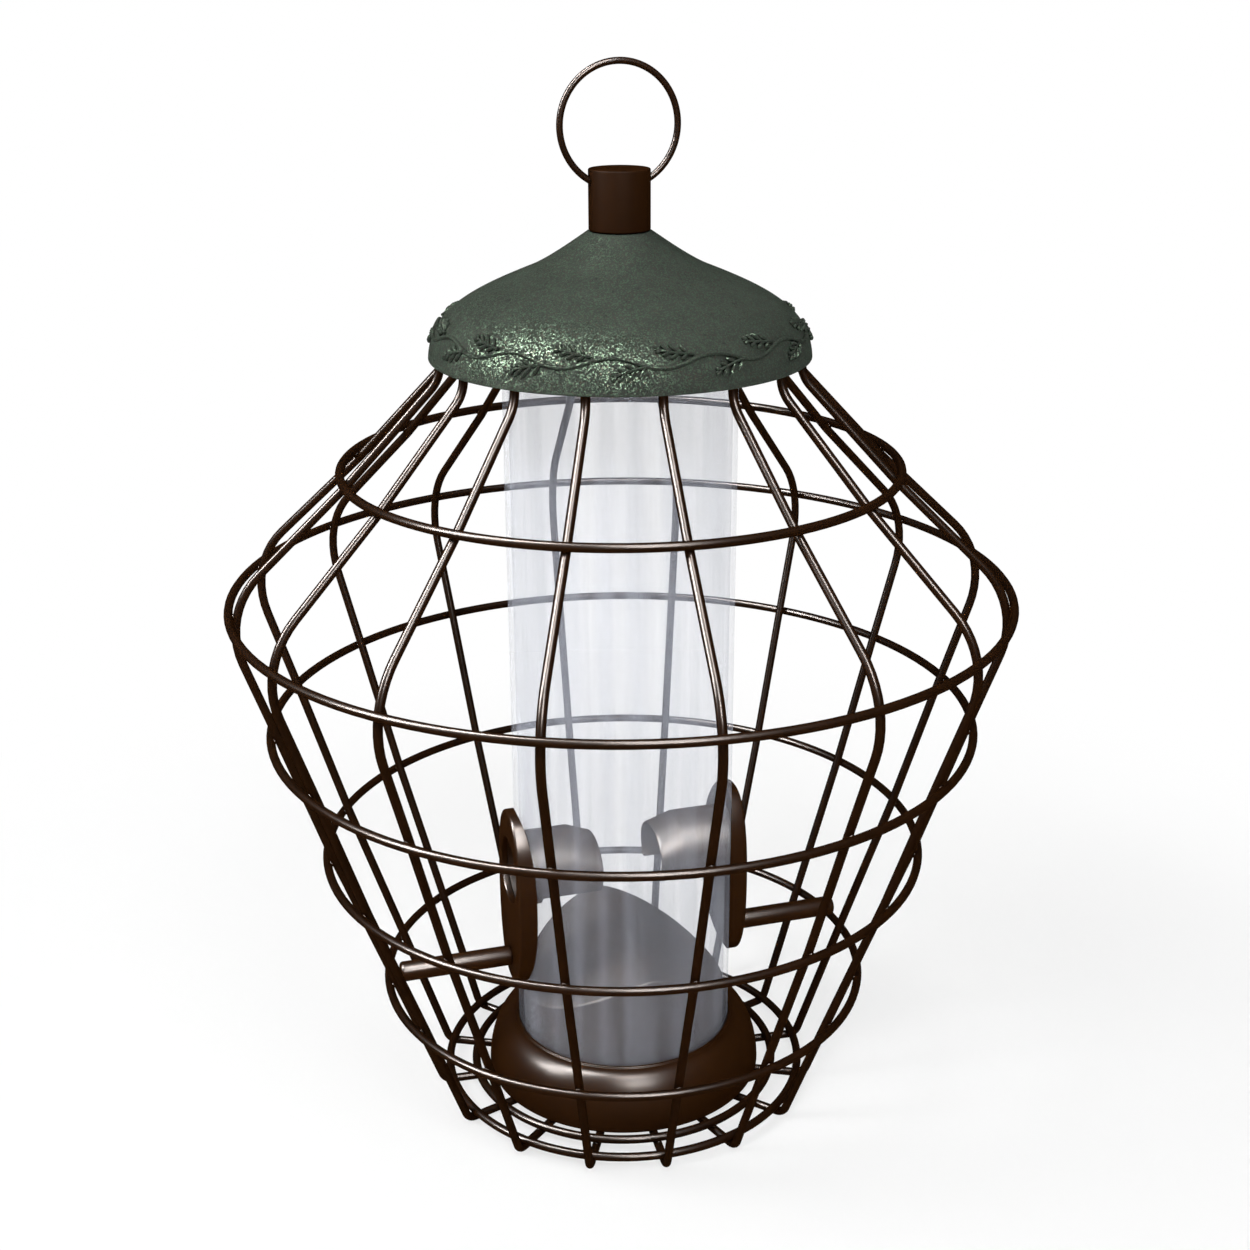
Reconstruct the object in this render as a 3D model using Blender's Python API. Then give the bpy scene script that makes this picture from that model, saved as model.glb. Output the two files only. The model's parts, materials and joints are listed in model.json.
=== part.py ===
# Squirrel proof bird feeder: a clear seed tube that stands inside a cage of bent and welded wires.
# Metres, +Z up. The origin is on the ground below the tube, and +X runs out through one seed port.

import bmesh
import bpy
from math import asin, atan2, cos, degrees, pi, radians, sin, sqrt, tan
from mathutils import Matrix, Vector
from mathutils.geometry import interpolate_bezier

# Fits shared by all pieces
fit_gap = 0.0003  # between pieces that touch, press together or are welded
cut_overrun = 0.004  # how far a cutter passes its face
round_segments = 40

# Cage wires. The centre line of an upright runs up through these corners
wire_diameter = 0.0029
wire_sides = 6
upright_count = 16
hoop_segments = 2 * upright_count
first_upright_angle = radians(-3.95)
foot_inner_radius = 0.014  # where the foot ends, under the base
foot_corner_past_ring = 0.0027  # where the foot turns up, beyond the outer foot ring
lower_corner_radius = 0.0815
middle_corner_radius = 0.1001
upper_corner_radius = 0.1158
widest_corner_radius = 0.1312
shoulder_corner_radius = 0.0887
cage_height = 0.2623  # from the feet to the lid's rim
lower_height_share = 0.1613
middle_height_share = 0.3527
upper_height_share = 0.5322
widest_height_share = 0.7032
shoulder_height_share = 0.8561
neck_height_share = 0.9809
wire_above_rim = 0.0042  # how far the uprights reach up inside the lid
foot_bend = 0.0040
widest_bend = 0.0285
neck_bend = 0.0120
foot_bend_steps = 2
widest_bend_steps = 4
neck_bend_steps = 2
foot_ring_spacing = 0.00955  # from the inner foot ring to the outer one
top_ring_below_end = 0.0021
hub_plate_radius = 0.0240
hub_plate_thickness = 0.0015

# Seed tube
tube_radius = 0.0380
tube_wall = 0.0018

# Base dish
base_flare = 0.0110  # from the tube's outside to the dish's foot
base_lip = 0.0011  # flat top edge round the tube
base_height = 0.0203
base_wall = 0.0021
base_floor_height = 0.0077  # floor's top above the foot of the dish
base_floor = 0.0020
base_ring_clearance = 0.0035  # to the inner foot ring
base_boss_radius = 0.0080
drain_count = 6
drain_radius = 0.0018
drain_circle_radius = 0.0230
dish_curve_steps = 4

# Screw that clamps the base to the cage
screw_radius = 0.0024
screw_head_radius = 0.0045
screw_head_height = 0.0017
screw_length = 0.0062

# Seed deflector, a gable that sends the seed to both ports
deflector_wall = 0.0016
deflector_side_height = 0.0225
deflector_pitch = radians(32.6)

# Seed ports
port_height = 0.0746  # port axis above the base floor
port_radius = 0.0116  # opening that a bird feeds through
flange_stand_out = 0.0035  # face beyond the tube's outside
flange_face = 0.0022
flange_half_width = 0.0155
flange_height = 0.0650
flange_above_port = 0.0220
flange_roundness = 2.4  # 2 is an ellipse, more is squarer
flange_segments = 28
flange_edge = 0.0007
port_segments = 24
hood_wall = 0.0014
hood_length = 0.0256  # in from the tube's inside
hood_knee = 0.0088  # stretch at the hood's end over which its roof drops
hood_end_share = 0.71  # height left at the end of the roof
hood_skirt = 0.0073  # sides below the port axis
hood_ring_depth = 0.0020  # ring inside the tube, past its wall

# Perches
perch_radius = 0.0035
perch_above_foot = 0.0092  # perch axis above the flange's lower end
perch_end_gap = 0.0021  # to the cage
perch_edge = 0.0006
perch_spigot_radius = 0.0022
perch_spigot_length = 0.0026
perch_segments = 12

# Lid, a pressed sheet metal shell
lid_rim_radius = 0.0610
lid_wall = 0.0009
lid_clearance = 0.0009  # to the uprights
lid_height = 0.0387
lid_crown_ledge = 0.0005  # flat beyond the collar
brim_rise_share = 0.332  # of the lid's height, before the dome turns in
brim_lean_share = 0.986
dome_radius_share, dome_height_share = 0.838, 0.473
waist_radius_share, waist_height_share = 0.483, 0.700
hollow_radius_share, hollow_height_share = 0.367, 0.774
crown_radius_share, crown_height_share = 0.205, 0.962
brim_steps = 8
crown_steps = 5

# Bridge across the tube's mouth and the stud that holds the lid down
bridge_arm_width = 0.0090
bridge_plate = 0.0026
bridge_overhang = 0.0021  # arm beyond the top ring's centre line
bridge_ring_wall = 0.0015
bridge_groove_depth = 0.0052
bridge_ring_step = 0.0004  # ring's top below the arms
boss_foot_radius = 0.0090
boss_top_radius = 0.0066
stud_radius = 0.0030
stud_grip = 0.0150  # in the boss
stud_tip_chamfer = 0.0008

# Collar, a cap nut that the ring hangs in
collar_radius = 0.0097
collar_height = 0.0190
collar_wall = 0.0014
collar_top = 0.0010
collar_edge = 0.0004
collar_solid = 0.0098  # threaded lower part
collar_neck_radius = 0.0056
retainer_radius = 0.0088
retainer_thickness = 0.0010
ring_hole_radius = 0.0020
collar_segments = 20

# Hanging ring
ring_wire_diameter = 0.0021
ring_radius = 0.0188
ring_axis_height = 0.0153  # above the collar's seat
ring_segments = 32
ring_wire_sides = 6


def linear(red, green, blue):
    def channel(value):
        share = value / 255
        return share / 12.92 if share <= 0.04045 else ((share + 0.055) / 1.055) ** 2.4
    return channel(red), channel(green), channel(blue), 1.0


def material(name, colour, roughness, metallic=0.0, alpha=1.0):
    made = bpy.data.materials.new(name)
    made.use_nodes = True
    shader = made.node_tree.nodes["Principled BSDF"]
    shader.inputs["Base Color"].default_value = colour
    shader.inputs["Roughness"].default_value = roughness
    shader.inputs["Metallic"].default_value = metallic
    shader.inputs["Alpha"].default_value = alpha
    made.diffuse_color = (*colour[:3], alpha)
    return made


def new_object(name, mesh, finish, parent=None, location=(0, 0, 0), turn=0.0):
    made = bpy.data.objects.new(name, mesh)
    bpy.context.scene.collection.objects.link(made)
    if finish and not mesh.materials:
        mesh.materials.append(finish)
    made.parent = parent
    made.location = location
    made.rotation_euler = (0, 0, turn)
    return made


def new_empty(name, turn=0.0):
    empty = bpy.data.objects.new(name, None)
    bpy.context.scene.collection.objects.link(empty)
    empty.rotation_euler = (0, 0, turn)
    return empty


def finished_mesh(bm, name, sharp_angle=radians(40)):
    bmesh.ops.remove_doubles(bm, verts=bm.verts, dist=1e-7)
    bmesh.ops.recalc_face_normals(bm, faces=bm.faces)
    mesh = bpy.data.meshes.new(name)
    bm.to_mesh(mesh)
    bm.free()
    mesh.shade_smooth()
    mesh.set_sharp_from_angle(angle=sharp_angle)
    return mesh


def turned(name, outline, segments=round_segments, closed=False, along="Z", start=0.0):
    # outline is (radius, height) points; an open one starts and ends on the axis
    bm = bmesh.new()
    verts = [bm.verts.new((radius, 0, height)) for radius, height in outline]
    pairs = list(zip(verts, verts[1:]))
    if closed:
        pairs.append((verts[-1], verts[0]))
    edges = [bm.edges.new(pair) for pair in pairs]
    bmesh.ops.spin(bm, geom=verts + edges, cent=(0, 0, 0), axis=(0, 0, 1), angle=2 * pi,
                   steps=segments, use_merge=True)
    bmesh.ops.rotate(bm, verts=bm.verts, matrix=Matrix.Rotation(start, 3, "Z"))
    if along == "X":
        bmesh.ops.rotate(bm, verts=bm.verts, matrix=Matrix.Rotation(pi / 2, 3, "Y"))
    return finished_mesh(bm, name)


def extruded(name, outline, low, high, along="Z"):
    # outline is (x, y) points for a Z extrusion and (y, z) points for an X extrusion
    bm = bmesh.new()
    if along == "Z":
        corners = [(x, y, low) for x, y in outline]
        travel = Vector((0, 0, high - low))
    else:
        corners = [(low, y, z) for y, z in outline]
        travel = Vector((high - low, 0, 0))
    face = bm.faces.new([bm.verts.new(corner) for corner in corners])
    grown = bmesh.ops.extrude_face_region(bm, geom=[face])["geom"]
    moved = [item for item in grown if isinstance(item, bmesh.types.BMVert)]
    bmesh.ops.translate(bm, verts=moved, vec=travel)
    return finished_mesh(bm, name)


def cylinder(radius, low, high):
    return [(0, high), (radius, high), (radius, low), (0, low)]


def tool(name, mesh, parent=None, location=(0, 0, 0), turn=0.0):
    made = new_object(name, mesh, None, parent, location, turn)
    made.hide_render = True
    made.display_type = "WIRE"
    return made


def combine(target, other, operation="DIFFERENCE"):
    boolean = target.modifiers.new(other.name, "BOOLEAN")
    boolean.operation = operation
    boolean.solver = "EXACT"
    boolean.object = other


def rounded(corners, bends):
    # Polyline through the corners, where a bend of (radius, steps) is an arc that its two runs have room for
    path = [Vector(corners[0])]
    for before, corner, after, bend in zip(corners, corners[1:], corners[2:], bends):
        corner = Vector(corner)
        back, ahead = Vector(before) - corner, Vector(after) - corner
        if not bend:
            path.append(corner)
            continue
        wanted, count = bend
        half = back.angle(ahead) / 2
        reach = min(wanted / tan(half), back.length / 2, ahead.length / 2)
        radius = reach * tan(half)
        middle = corner + (back.normalized() + ahead.normalized()).normalized() * (radius / sin(half))
        first = corner + back.normalized() * reach - middle
        last = corner + ahead.normalized() * reach - middle
        swing = first.angle_signed(last)
        for step in range(count + 1):
            arm = first.copy()
            arm.rotate(Matrix.Rotation(-swing * step / count, 2))
            path.append(middle + arm)
    path.append(Vector(corners[-1]))
    return path


def swept(name, path, radius, sides):
    # A wire along a path of (x, z) points, its flats square to the plane of the path
    bm = bmesh.new()
    loops = []
    for index, point in enumerate(path):
        into = (point - path[index - 1]).normalized() if index else None
        out = (path[index + 1] - point).normalized() if index + 1 < len(path) else None
        ahead = ((into or out) + (out or into)).normalized()
        stretch = 1 / ahead.dot(into or out)
        across = Vector((-ahead.y, 0, ahead.x)) * stretch
        centre = Vector((point.x, 0, point.y))
        loops.append([bm.verts.new(centre + Vector((0, radius * cos(angle), 0)) + across * radius * sin(angle))
                      for angle in (2 * pi * side / sides for side in range(sides))])
    for low, high in zip(loops, loops[1:]):
        for side in range(sides):
            after = (side + 1) % sides
            bm.faces.new((low[side], low[after], high[after], high[side]))
    bm.faces.new(loops[0])
    bm.faces.new(loops[-1])
    return finished_mesh(bm, name)


def wire_ring(name, radius, height, facing):
    # facing is the direction, up from outwards, of the flat that is welded
    section = [(radius + wire_radius * cos(angle), height + wire_radius * sin(angle))
               for angle in (facing + (side + 0.5) * 2 * pi / wire_sides for side in range(wire_sides))]
    return turned(name, section, hoop_segments, closed=True, start=first_upright_angle)


wire_radius = wire_diameter / 2
half_flat = wire_radius * cos(pi / wire_sides)
weld_step = 2 * half_flat + fit_gap
foot_height = half_flat
lower_height = foot_height + cage_height * lower_height_share
middle_height = foot_height + cage_height * middle_height_share
upper_height = foot_height + cage_height * upper_height_share
widest_height = foot_height + cage_height * widest_height_share
shoulder_height = foot_height + cage_height * shoulder_height_share
neck_height = foot_height + cage_height * neck_height_share
lid_rim_height = foot_height + cage_height
wire_top = lid_rim_height + wire_above_rim
neck_radius = lid_rim_radius - lid_wall - lid_clearance - wire_radius
wires_top_of_foot = foot_height + half_flat

base_foot = wires_top_of_foot + fit_gap
base_radius = tube_radius + base_flare
inner_foot_ring_radius = base_radius + base_ring_clearance + wire_radius
outer_foot_ring_radius = inner_foot_ring_radius + foot_ring_spacing
foot_corner_radius = outer_foot_ring_radius + foot_corner_past_ring
floor_top = base_foot + base_floor_height
port_axis = floor_top + port_height
tube_inside = tube_radius - tube_wall
top_ring_height = wire_top - top_ring_below_end
top_ring_radius = neck_radius - weld_step
plate_bottom = top_ring_height + half_flat + fit_gap
plate_top = plate_bottom + bridge_plate
lid_seat = lid_rim_height + lid_height
lid_ceiling = lid_seat - lid_wall
retainer_top = lid_ceiling - fit_gap
neck_end = retainer_top - retainer_thickness - fit_gap
boss_top = neck_end - fit_gap
tube_bottom = floor_top + fit_gap
tube_top = plate_bottom - fit_gap

for old in list(bpy.data.objects):
    bpy.data.objects.remove(old)

wire_finish = material("brown_powder_coat", linear(43, 24, 13), 0.32, 0.35)
brown_plastic = material("brown_gloss_plastic", linear(40, 22, 11), 0.28)
green_finish = material("green_hammer_paint", linear(78, 88, 79), 0.48, 0.25)
clear_plastic = material("clear_plastic", linear(238, 241, 246), 0.06, alpha=0.35)
zinc_steel = material("zinc_steel", linear(150, 152, 156), 0.35, 1.0)


def upright_path():
    corners = [(foot_inner_radius, foot_height), (foot_corner_radius, foot_height),
               (lower_corner_radius, lower_height), (middle_corner_radius, middle_height),
               (upper_corner_radius, upper_height), (widest_corner_radius, widest_height),
               (shoulder_corner_radius, shoulder_height), (neck_radius, neck_height),
               (neck_radius, wire_top)]
    bends = [(foot_bend, foot_bend_steps), None, None, None, (widest_bend, widest_bend_steps), None,
             (neck_bend, neck_bend_steps)]
    return rounded(corners, bends)


def wire_at(path, height):
    # Radius of the uprights at a height above the feet, and the way their outside faces there
    for low, high in zip(path[1:], path[2:]):
        if low.y <= height < high.y:
            share = (height - low.y) / (high.y - low.y)
            run = high - low
            return low.x + run.x * share, atan2(-run.x, run.y)
    return path[-1].x, 0.0


def cage(path):
    upright = swept("cage_upright", path, wire_radius, wire_sides)
    for index in range(upright_count):
        turn = first_upright_angle + 2 * pi * index / upright_count
        new_object(f"cage_upright_{index + 1:02d}", upright, wire_finish, turn=turn)
    widest_corner = Vector((widest_corner_radius, widest_height))
    widest = min(path, key=lambda point: (point - widest_corner).length)
    hoops = {"lower_hoop": lower_height, "middle_hoop": middle_height, "upper_hoop": upper_height,
             "widest_hoop": widest.y, "shoulder_hoop": shoulder_height}
    for name, height in hoops.items():
        radius, facing = wire_at(path, height)
        seat = (radius + weld_step * cos(facing), height + weld_step * sin(facing))
        new_object(name, wire_ring(name, *seat, facing), wire_finish)
    ring_height = foot_height + weld_step
    for name, radius in (("outer_foot_ring", outer_foot_ring_radius), ("inner_foot_ring", inner_foot_ring_radius)):
        new_object(name, wire_ring(name, radius, ring_height, pi / 2), wire_finish)
    new_object("cage_top_ring", wire_ring("cage_top_ring", top_ring_radius, top_ring_height, 0.0), wire_finish)


def hub_plate_and_screw():
    top = base_foot + hub_plate_thickness
    hole = screw_radius + fit_gap
    outline = [(hub_plate_radius, top), (hub_plate_radius, base_foot), (hole, base_foot), (hole, top)]
    new_object("cage_hub_plate", turned("cage_hub_plate", outline, 32, closed=True), zinc_steel)
    head_top = base_foot - fit_gap
    head_low = head_top - screw_head_height
    tip = head_top + screw_length
    outline = [(0, tip), (screw_radius, tip), (screw_radius, head_top), (screw_head_radius, head_top),
               (screw_head_radius, head_low + screw_head_height / 3),
               (screw_head_radius - screw_head_height / 3, head_low), (0, head_low)]
    new_object("base_screw", turned("base_screw", outline, 16), zinc_steel)


def base_dish():
    lip_inside = tube_radius + fit_gap
    lip_outside = lip_inside + base_lip
    top = base_foot + base_height
    floor_bottom = floor_top - base_floor
    boss_bottom = base_foot + hub_plate_thickness + fit_gap
    pilot = screw_radius + fit_gap
    pilot_top = base_foot - fit_gap + screw_length + fit_gap

    def quarter(radius_in, radius_out, low, high, steps):
        angles = [pi / 2 * step / steps for step in range(steps + 1)]
        return [(radius_in + (radius_out - radius_in) * sin(angle), low + (high - low) * cos(angle))
                for angle in angles]

    skin = quarter(lip_outside, base_radius, base_foot, top, dish_curve_steps)
    socket_outside = lip_inside + base_wall
    inside = quarter(socket_outside, base_radius - base_wall, base_foot, top - base_wall, dish_curve_steps - 1)
    outline = [(0, floor_top), (lip_inside, floor_top), (lip_inside, top)] + skin
    outline += list(reversed(inside)) + [(socket_outside, floor_bottom), (base_boss_radius, floor_bottom),
                                         (base_boss_radius, boss_bottom), (pilot, boss_bottom),
                                         (pilot, pilot_top), (0, pilot_top)]
    dish = new_object("base_dish", turned("base_dish", outline), brown_plastic)
    for index in range(drain_count):
        angle = 2 * pi * index / drain_count
        place = (drain_circle_radius * cos(angle), drain_circle_radius * sin(angle), 0)
        hole = turned(f"drain_{index + 1}", cylinder(drain_radius, floor_bottom - cut_overrun,
                                                     floor_top + cut_overrun), 8)
        combine(dish, tool(f"drain_tool_{index + 1}", hole, location=place))


def gable(name, radius, low, side_height):
    # Round plug with a roof whose ridge runs along Y
    ridge = low + side_height + radius * tan(deflector_pitch)
    bm = bmesh.new()
    bmesh.ops.create_cone(bm, cap_ends=True, segments=round_segments, radius1=radius, radius2=radius,
                          depth=ridge + cut_overrun - low)
    bmesh.ops.translate(bm, verts=bm.verts, vec=(0, 0, (ridge + cut_overrun + low) / 2))
    for side in (1, -1):
        normal = Vector((side * sin(deflector_pitch), 0, cos(deflector_pitch)))
        bmesh.ops.bisect_plane(bm, geom=bm.verts[:] + bm.edges[:] + bm.faces[:],
                               plane_co=(0, 0, ridge), plane_no=normal, clear_outer=True)
        open_edges = [edge for edge in bm.edges if edge.is_boundary]
        bmesh.ops.holes_fill(bm, edges=open_edges)
    return finished_mesh(bm, name)


def seed_deflector():
    radius = tube_inside - fit_gap
    low = floor_top + fit_gap
    shell = new_object("seed_deflector", gable("seed_deflector", radius, low, deflector_side_height),
                       brown_plastic)
    inside = radius - deflector_wall
    drop = deflector_wall / cos(deflector_pitch) - deflector_wall * tan(deflector_pitch)
    hollow = gable("deflector_hollow", inside, low - cut_overrun, deflector_side_height + cut_overrun - drop)
    combine(shell, tool("deflector_hollow", hollow))


def seed_tube():
    outline = [(tube_radius, tube_top), (tube_radius, tube_bottom), (tube_inside, tube_bottom),
               (tube_inside, tube_top)]
    tube = new_object("seed_tube", turned("seed_tube", outline, closed=True), clear_plastic)
    reach = tube_radius + cut_overrun
    hole = turned("port_bore", cylinder(hood_radius + fit_gap, -reach, reach), port_segments, along="X")
    combine(tube, tool("port_bore", hole, location=(0, 0, port_axis)))


hood_radius = port_radius + hood_wall
flange_plane = tube_radius + flange_stand_out
flange_middle = port_axis + flange_above_port - flange_height / 2
perch_axis = port_axis + flange_above_port - flange_height + perch_above_foot


def flange(side, frame):
    saddle_radius = tube_radius + fit_gap

    def corner(angle):
        across = abs(cos(angle)) ** (2 / flange_roundness) * (1 if cos(angle) >= 0 else -1)
        up = abs(sin(angle)) ** (2 / flange_roundness) * (1 if sin(angle) >= 0 else -1)
        return flange_half_width * across, flange_height / 2 * up

    back = sqrt(saddle_radius ** 2 - flange_half_width ** 2) - cut_overrun
    outline = [corner(2 * pi * index / flange_segments) for index in range(flange_segments)]
    plate = new_object(f"port_flange_{side}", extruded("port_flange", outline, back, flange_plane, along="X"),
                       brown_plastic, frame, (0, 0, flange_middle))
    bevel = plate.modifiers.new("edge", "BEVEL")
    bevel.width = flange_edge
    bevel.segments = 1
    bevel.limit_method = "ANGLE"
    bevel.angle_limit = radians(60)
    saddle = turned("saddle", cylinder(saddle_radius, -flange_height, flange_height))
    combine(plate, tool(f"saddle_tool_{side}", saddle, frame, (0, 0, flange_middle)))
    recess = flange_plane - flange_face
    bore = turned("bore", [(0, flange_plane + cut_overrun), (port_radius, flange_plane + cut_overrun),
                           (port_radius, recess), (hood_radius + fit_gap, recess),
                           (hood_radius + fit_gap, back - cut_overrun), (0, back - cut_overrun)],
                  port_segments, along="X")
    combine(plate, tool(f"port_bore_tool_{side}", bore, frame, (0, 0, port_axis)))
    socket_end = flange_plane - perch_spigot_length - fit_gap
    socket = turned("socket", cylinder(perch_spigot_radius + fit_gap, socket_end, flange_plane + cut_overrun),
                    perch_segments, along="X")
    combine(plate, tool(f"perch_socket_tool_{side}", socket, frame, (0, 0, perch_axis)))


def hood(side, frame):
    outer_end = flange_plane - flange_face - fit_gap
    inner_end = tube_inside - hood_length
    knee = inner_end + hood_knee
    outline = [(hood_radius, outer_end), (hood_radius, knee), (hood_radius, inner_end),
               (port_radius, inner_end), (port_radius, knee), (port_radius, outer_end)]
    mesh = turned("port_hood", outline, port_segments, closed=True, along="X")
    for vertex in mesh.vertices:
        if vertex.co.z > 0 and vertex.co.x < (inner_end + knee) / 2:
            vertex.co.z *= hood_end_share
    piece = new_object(f"port_hood_{side}", mesh, brown_plastic, frame, (0, 0, port_axis))
    ring_start = sqrt(tube_inside ** 2 - hood_radius ** 2) - hood_ring_depth
    wide = hood_radius + cut_overrun
    floor = extruded("hood_floor", [(-wide, -wide), (wide, -wide), (wide, -hood_skirt), (-wide, -hood_skirt)],
                     inner_end - cut_overrun, ring_start, along="X")
    combine(piece, tool(f"hood_floor_tool_{side}", floor, frame, (0, 0, port_axis)))


def perch(side, frame, path):
    cage_inside = wire_at(path, perch_axis)[0] - wire_radius - perch_end_gap
    shoulder = flange_plane + fit_gap
    outline = [(0, cage_inside), (perch_radius - perch_edge, cage_inside), (perch_radius, cage_inside - perch_edge),
               (perch_radius, shoulder), (perch_spigot_radius, shoulder),
               (perch_spigot_radius, flange_plane - perch_spigot_length), (0, flange_plane - perch_spigot_length)]
    new_object(f"perch_{side}", turned("perch", outline, perch_segments, along="X"), brown_plastic, frame,
               (0, 0, perch_axis))


def ports(path):
    for side, turn in (("right", 0.0), ("left", pi)):
        frame = new_empty(f"port_frame_{side}", turn)
        flange(side, frame)
        hood(side, frame)
        perch(side, frame, path)


def bridge():
    tip = top_ring_radius + bridge_overhang
    half = bridge_arm_width / 2
    cross = [(tip, -half), (tip, half), (half, half), (half, tip), (-half, tip), (-half, half),
             (-tip, half), (-tip, -half), (-half, -half), (-half, -tip), (half, -tip), (half, -half)]
    arm_turn = first_upright_angle + pi / upright_count
    piece = new_object("top_bridge", extruded("top_bridge", cross, plate_bottom, plate_top), brown_plastic,
                       turn=arm_turn)
    groove_out, groove_in = tube_radius + fit_gap, tube_inside - fit_gap
    ring_out, ring_in = groove_out + bridge_ring_wall, groove_in - bridge_ring_wall
    ring_low = plate_bottom - bridge_groove_depth
    ring_top = plate_top - bridge_ring_step
    outline = [(ring_out, ring_top), (ring_out, ring_low), (groove_out, ring_low), (groove_out, plate_bottom),
               (groove_in, plate_bottom), (groove_in, ring_low), (ring_in, ring_low), (ring_in, ring_top)]
    ring = turned("bridge_ring", outline, closed=True)
    combine(piece, tool("bridge_ring_tool", ring), "UNION")
    low = plate_bottom + bridge_ring_step
    cone = turned("bridge_boss", [(0, boss_top), (boss_top_radius, boss_top), (boss_foot_radius, low), (0, low)],
                  collar_segments)
    combine(piece, tool("bridge_boss_tool", cone), "UNION")
    hole = turned("stud_hole", cylinder(stud_radius + fit_gap, boss_top - stud_grip - fit_gap,
                                        boss_top + cut_overrun), 16)
    combine(piece, tool("stud_hole_tool", hole))
    tip_height = lid_seat + collar_solid - stud_tip_chamfer
    stud = turned("bridge_stud", [(0, tip_height), (stud_radius - stud_tip_chamfer, tip_height),
                                  (stud_radius, tip_height - stud_tip_chamfer),
                                  (stud_radius, boss_top - stud_grip), (0, boss_top - stud_grip)], 16)
    new_object("bridge_stud", stud, zinc_steel)


def lid_outline():
    # Heights above the rim: brim and dome in one curve, then the hollow that runs up to the collar
    def at(radius_share, height_share):
        return Vector((lid_rim_radius * radius_share, lid_height * height_share, 0))

    crown = collar_radius + lid_crown_ledge
    rim = at(1, 0)
    waist = at(waist_radius_share, waist_height_share)
    dome = interpolate_bezier(rim, at(brim_lean_share, brim_rise_share), at(dome_radius_share, dome_height_share),
                              waist, brim_steps)
    hollow = interpolate_bezier(waist, at(hollow_radius_share, hollow_height_share),
                                at(crown_radius_share, crown_height_share), Vector((crown, lid_height, 0)),
                                crown_steps)
    return dome + hollow[1:]


def lid():
    outside = lid_outline()
    inside = []
    for index, point in enumerate(outside):
        run = outside[min(index + 1, len(outside) - 1)] - outside[max(index - 1, 0)]
        inward = Vector((-run.y, run.x, 0)).normalized()
        inside.append(point - Vector((abs(inward.x), abs(inward.y), 0)) * lid_wall)
    inside[0] = Vector((lid_rim_radius - lid_wall, 0, 0))
    inside[-1] = Vector((outside[-1].x, lid_height - lid_wall, 0))
    hole = collar_neck_radius + fit_gap
    outline = [(hole, lid_height)] + [(point.x, point.y) for point in reversed(outside)]
    outline += [(point.x, point.y) for point in inside] + [(hole, lid_height - lid_wall)]
    shell = turned("lid", outline, closed=True)
    return new_object("lid", shell, green_finish, location=(0, 0, lid_rim_height))


def collar(lid_piece):
    # Heights above the seat on the lid
    bore = stud_radius + fit_gap
    cavity = collar_radius - collar_wall
    ceiling = collar_height - collar_top
    low = neck_end - lid_seat
    outline = [(0, collar_height), (collar_radius - collar_edge, collar_height),
               (collar_radius, collar_height - collar_edge), (collar_radius, fit_gap),
               (collar_neck_radius, fit_gap), (collar_neck_radius, low), (bore, low),
               (bore, collar_solid), (cavity, collar_solid), (cavity, ceiling), (0, ceiling)]
    piece = new_object("hanger_collar", turned("hanger_collar", outline, collar_segments), brown_plastic,
                       lid_piece, (0, 0, lid_height))
    reach = collar_radius + cut_overrun
    hole = turned("ring_hole", cylinder(ring_hole_radius, -reach, reach), 12, along="X")
    combine(piece, tool("ring_hole_tool", hole, piece, (0, 0, ring_axis_height)))
    top = retainer_top - lid_seat
    bottom = top - retainer_thickness
    inner = collar_neck_radius + fit_gap
    washer = turned("collar_retainer", [(retainer_radius, top), (retainer_radius, bottom), (inner, bottom),
                                        (inner, top)], collar_segments, closed=True)
    new_object("collar_retainer", washer, zinc_steel, piece)
    return piece


def hanging_ring(collar_piece):
    # The ring passes through both side holes of the collar, on the axis that it swings about
    rise = sqrt(ring_radius ** 2 - (collar_radius - collar_wall / 2) ** 2)
    section = [(ring_radius + ring_wire_diameter / 2 * cos(angle), ring_wire_diameter / 2 * sin(angle))
               for angle in (2 * pi * side / ring_wire_sides for side in range(ring_wire_sides))]
    bm = bmesh.new()
    bm.from_mesh(turned("ring_flat", section, ring_segments, closed=True))
    bmesh.ops.rotate(bm, verts=bm.verts, matrix=Matrix.Rotation(pi / 2, 3, "X"))
    bmesh.ops.translate(bm, verts=bm.verts, vec=(0, 0, rise))
    new_object("hanging_ring", finished_mesh(bm, "hanging_ring"), wire_finish, collar_piece,
               (0, 0, ring_axis_height))


def swing_limit():
    # The part of the ring inside the collar meets its top here
    dip = ring_radius - sqrt(ring_radius ** 2 - (collar_radius - collar_wall / 2) ** 2)
    room = collar_height - collar_top - ring_axis_height - ring_wire_diameter / 2
    return pi / 2 + asin(min(1, room / dip))


upright = upright_path()
cage(upright)
hub_plate_and_screw()
base_dish()
seed_deflector()
seed_tube()
ports(upright)
bridge()
hanging_ring(collar(lid()))
print(f"ring can swing {degrees(swing_limit()):.0f} degrees each way")
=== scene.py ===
import json
from math import cos, pi, radians, sin, sqrt, tan

import bmesh
import bpy
from mathutils import Matrix, Vector
from mathutils.geometry import interpolate_bezier

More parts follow.
